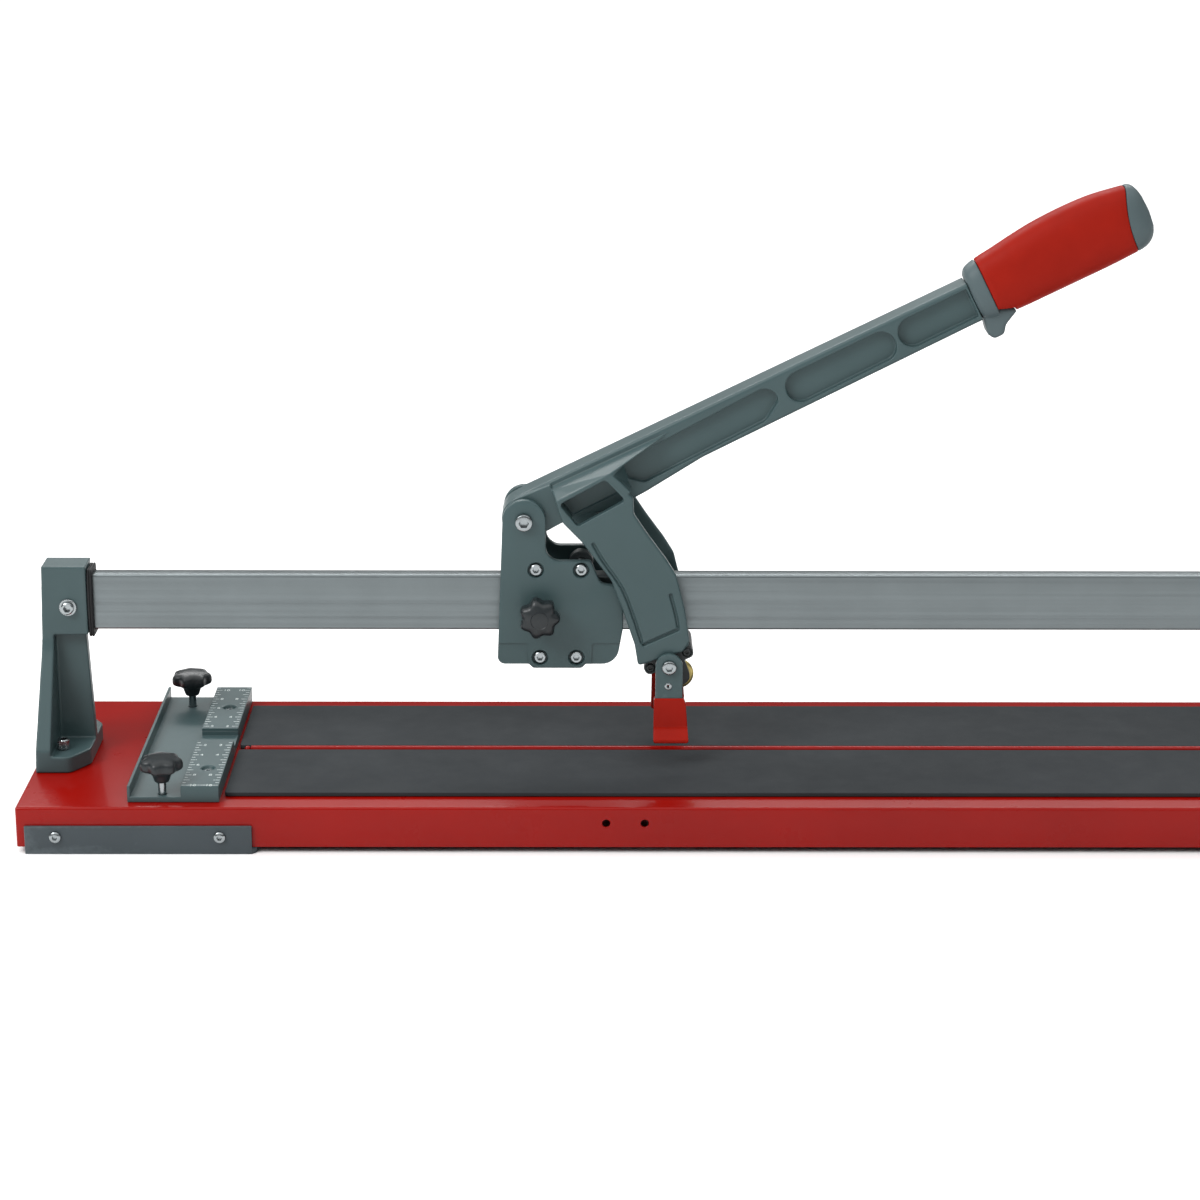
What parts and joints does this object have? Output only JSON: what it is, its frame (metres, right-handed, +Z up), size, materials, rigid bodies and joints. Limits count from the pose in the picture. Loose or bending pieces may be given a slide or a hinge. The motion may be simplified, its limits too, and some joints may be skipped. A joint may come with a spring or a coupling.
{
  "type": "tile cutter",
  "caption": "Manual tile cutter: long folded base with rubber mats, rail on end supports, bearing carriage with lever, scoring wheel, swinging breaking feet and a ruler fence.",
  "frame": {"origin": "middle of the footprint, on the ground under the foot brackets", "axes": "+X along the rail to the end the grip leans towards, +Y away from the user, +Z up"},
  "size_m": [1.5, 0.232, 0.4419],
  "materials": {
    "red_paint": "glossy red powder coat",
    "grey_paint": "satin blue-grey powder coat",
    "bracket_paint": "satin dark grey powder coat",
    "zinc_steel": "bright zinc plated",
    "rail_steel": "finely drawn steel",
    "black_steel": "blackened steel",
    "mat_rubber": "matt dark grey rubber",
    "black_rubber": "matt black rubber",
    "black_plastic": "fine grained black plastic",
    "grip_red": "soft touch red",
    "grip_grey": "satin grey plastic",
    "shoe_red": "red dipped vinyl",
    "gold_coat": "gold coloured hard coating"
  },
  "bodies": {
    "base": {"base_pan": "red_paint", "base_stiffener": "zinc_steel", "mat_front": "mat_rubber", "mat_rear": "mat_rubber", "breaking_ridge": "red_paint", "foot_bracket_left": "bracket_paint", "foot_bracket_right": "bracket_paint", "bracket_screw_left_front_1": "zinc_steel", "bracket_screw_left_front_2": "zinc_steel", "bracket_screw_left_rear_1": "zinc_steel", "support_bolt_left_front": "zinc_steel", "support_bolt_left_rear": "zinc_steel", "bracket_screw_right_front_1": "zinc_steel", "bracket_screw_right_front_2": "zinc_steel", "bracket_screw_right_rear_1": "zinc_steel", "support_bolt_right_front": "zinc_steel", "support_bolt_right_rear": "zinc_steel", "rail": "rail_steel", "end_support_left": "grey_paint", "end_support_right": "grey_paint", "rail_grommet_left": "black_rubber", "rail_grommet_right": "black_rubber", "rail_clamp_bolt_left": "zinc_steel", "rail_clamp_bolt_right": "zinc_steel", "fence_profile": "grey_paint", "fence_screw_front": "zinc_steel", "fence_screw_rear": "zinc_steel"},
    "carriage": {"carriage_plate_front": "grey_paint", "carriage_plate_rear": "grey_paint", "upper_axle_left": "zinc_steel", "upper_axle_right": "zinc_steel", "lower_axle_left": "zinc_steel", "lower_axle_right": "zinc_steel", "pivot_bolt": "zinc_steel", "return_spring": "zinc_steel"},
    "fence_knob_front": {"fence_knob_front": "black_plastic", "fence_stud_front": "zinc_steel"},
    "fence_knob_rear": {"fence_knob_rear": "black_plastic", "fence_stud_rear": "zinc_steel"},
    "upper_bearing_left": {"upper_bearing_left": "black_steel"},
    "upper_bearing_right": {"upper_bearing_right": "black_steel"},
    "lower_bearing_left": {"lower_bearing_left": "black_steel"},
    "lower_bearing_right": {"lower_bearing_right": "black_steel"},
    "lock_screw": {"lock_stud": "zinc_steel", "brake_pad": "black_rubber"},
    "lock_knob": {"lock_knob": "black_plastic"},
    "handle": {"handle_casting": "grey_paint", "grip_core": "grip_grey", "grip_sleeve": "grip_red", "wheel_holder": "black_steel", "holder_pin_left": "black_steel", "holder_pin_right": "black_steel", "wheel_axle": "zinc_steel"},
    "wheel": {"scoring_wheel": "gold_coat"},
    "feet": {"foot_link_front": "grey_paint", "foot_link_rear": "grey_paint", "foot_shoe_front": "shoe_red", "foot_shoe_rear": "shoe_red", "foot_rivet": "zinc_steel", "foot_pivot_bolt": "zinc_steel"}
  },
  "joints": [
    {"name": "carriage_slide", "type": "slide", "parent": "base", "child": "carriage", "axis": [1, 0, 0], "range_m": [-0.28, 0.96]},
    {"name": "handle_pivot", "type": "hinge", "parent": "carriage", "child": "handle", "pos_m": [-0.4044, 0, 0.211], "axis": [0, 1, 0], "range_deg": [0, 28], "stiffness_Nm_per_rad": 4, "springref_deg": -91.67},
    {"name": "feet_swing", "type": "hinge", "parent": "handle", "child": "feet", "pos_m": [-0.3032, 0, 0.109], "axis": [0, -1, 0], "range_deg": [0, 112]},
    {"name": "wheel_spin", "type": "hinge", "parent": "handle", "child": "wheel", "pos_m": [-0.29574, 0, 0.09262], "axis": [0, 1, 0], "continuous": true},
    {"name": "lock_knob_turn", "type": "hinge", "parent": "lock_screw", "child": "lock_knob", "pos_m": [-0.3936, -0.0325, 0.1455], "axis": [0, 1, 0], "range_deg": [0, 180]},
    {"name": "lock_feed", "type": "slide", "parent": "carriage", "child": "lock_screw", "axis": [0, 1, 0], "range_m": [0, 0.00056]},
    {"name": "fence_knob_front_turn", "type": "hinge", "parent": "base", "child": "fence_knob_front", "pos_m": [-0.6514, -0.095, 0.0482], "axis": [0, 0, 1], "range_deg": [0, 360]},
    {"name": "fence_knob_rear_turn", "type": "hinge", "parent": "base", "child": "fence_knob_rear", "pos_m": [-0.654, 0.0875, 0.0482], "axis": [0, 0, 1], "range_deg": [0, 360]},
    {"name": "upper_bearing_left_roll", "type": "hinge", "parent": "carriage", "child": "upper_bearing_left", "pos_m": [-0.3963, 0, 0.1757], "axis": [0, 1, 0], "range_deg": [-1950, 6588]},
    {"name": "upper_bearing_right_roll", "type": "hinge", "parent": "carriage", "child": "upper_bearing_right", "pos_m": [-0.3647, 0, 0.1757], "axis": [0, 1, 0], "range_deg": [-1950, 6588]},
    {"name": "lower_bearing_left_roll", "type": "hinge", "parent": "carriage", "child": "lower_bearing_left", "pos_m": [-0.3936, 0, 0.1148], "axis": [0, 1, 0], "range_deg": [-4549, 1355]},
    {"name": "lower_bearing_right_roll", "type": "hinge", "parent": "carriage", "child": "lower_bearing_right", "pos_m": [-0.3681, 0, 0.1148], "axis": [0, 1, 0], "range_deg": [-4549, 1355]}
  ],
  "couplings": [
    {"joint": "feet_swing", "follows": "handle_pivot", "ratio": 4},
    {"joint": "lock_feed", "follows": "lock_knob_turn", "m_per_rad": 0.000159},
    {"joint": "upper_bearing_left_roll", "follows": "carriage_slide", "rad_per_m": 119.05},
    {"joint": "upper_bearing_right_roll", "follows": "carriage_slide", "rad_per_m": 119.05},
    {"joint": "lower_bearing_left_roll", "follows": "carriage_slide", "rad_per_m": -81.967},
    {"joint": "lower_bearing_right_roll", "follows": "carriage_slide", "rad_per_m": -81.967}
  ]
}
